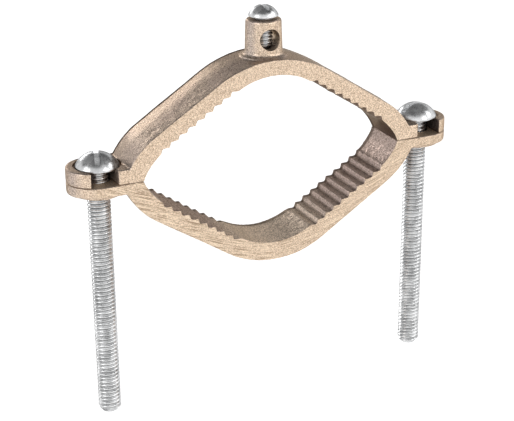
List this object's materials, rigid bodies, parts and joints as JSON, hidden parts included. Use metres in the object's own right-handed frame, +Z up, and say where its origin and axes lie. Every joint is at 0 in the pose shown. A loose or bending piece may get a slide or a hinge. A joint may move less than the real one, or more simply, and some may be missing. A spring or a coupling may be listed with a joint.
{
  "type": "pipe ground clamp",
  "caption": "Cast two-piece clamp that grips a metal pipe between toothed jaws drawn together by screws, with a screw lug for a ground wire.",
  "frame": {"origin": "centre of the pipe opening, on the parting plane of the closed jaws, at mid-depth", "axes": "+X towards the right clamp screw, +Y from the open side of the hooked ears to the back, along the pipe, +Z up towards the wire lug"},
  "size_m": [0.1444, 0.019, 0.1404],
  "materials": {
    "cast_bronze": "sand cast, dull, with linished side faces",
    "zinc_plated_steel": "bright zinc plate"
  },
  "bodies": {
    "lower_jaw": {"lower_jaw": "cast_bronze"},
    "upper_jaw": {"upper_jaw": "cast_bronze"},
    "clamp_screw_left": {"clamp_screw_left": "zinc_plated_steel"},
    "clamp_screw_right": {"clamp_screw_right": "zinc_plated_steel"},
    "lug_screw": {"lug_screw": "zinc_plated_steel"}
  },
  "joints": [
    {"name": "jaw_opening", "type": "slide", "parent": "lower_jaw", "child": "upper_jaw", "axis": [0, 0, 1], "range_m": [0, 0.07902]},
    {"name": "clamp_screw_left_turn", "type": "hinge", "parent": "upper_jaw", "child": "clamp_screw_left", "pos_m": [-0.0615, 0, 0], "axis": [0, 0, 1], "range_deg": [0, 20161]},
    {"name": "clamp_screw_right_turn", "type": "hinge", "parent": "upper_jaw", "child": "clamp_screw_right", "pos_m": [0.0615, 0, 0], "axis": [0, 0, 1], "range_deg": [0, 20161]},
    {"name": "lug_screw_lift", "type": "slide", "parent": "upper_jaw", "child": "lug_screw", "axis": [0, 0, 1], "range_m": [-0.0007, 0.0076]}
  ],
  "couplings": [
    {"joint": "clamp_screw_left_turn", "follows": "jaw_opening", "rad_per_m": 4452.7},
    {"joint": "clamp_screw_right_turn", "follows": "jaw_opening", "rad_per_m": 4452.7}
  ]
}
